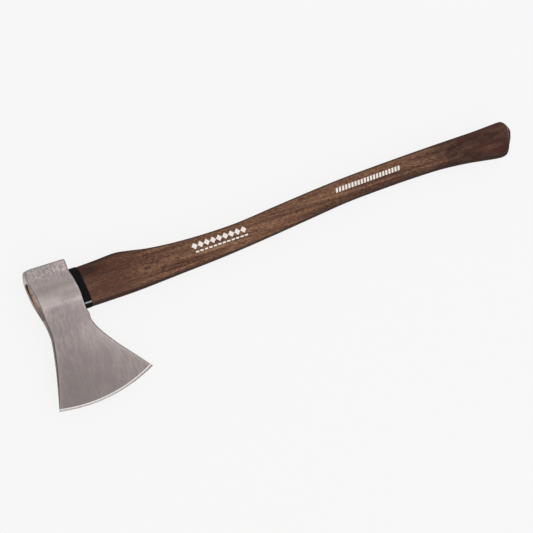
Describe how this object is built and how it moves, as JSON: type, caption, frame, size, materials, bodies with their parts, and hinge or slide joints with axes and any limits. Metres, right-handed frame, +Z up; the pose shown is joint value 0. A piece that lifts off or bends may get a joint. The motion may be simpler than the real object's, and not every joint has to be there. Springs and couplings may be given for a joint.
{
  "type": "felling axe",
  "caption": "Felling axe: a forged steel head with a flared, curved bit, wedged on a curved hickory handle with a black collar under the head. It lies on its side.",
  "frame": {"origin": "On the surface that the axe lies on, in the middle of its box along and across", "axes": "+X along the handle from the head to the knob, +Y from the cutting edge to the poll, +Z up through the thickness. The head's middle plane is 18.7 mm above the origin"},
  "size_m": [0.7218, 0.183, 0.0374],
  "materials": {
    "head_steel": "ground and brushed, satin",
    "handle_wood": "dark stained hickory under satin lacquer",
    "wedge_wood": "bare end grain, sawn flush",
    "wedge_steel": "dull mild steel",
    "collar_black": "glossy black sleeve",
    "print_paint": "thin off-white print"
  },
  "bodies": {
    "root": {"axe_head": "head_steel", "handle": "handle_wood", "eye_wedge": "wedge_wood", "steel_wedge_1": "wedge_steel", "steel_wedge_2": "wedge_steel", "collar": "collar_black"}
  },
  "joints": []
}
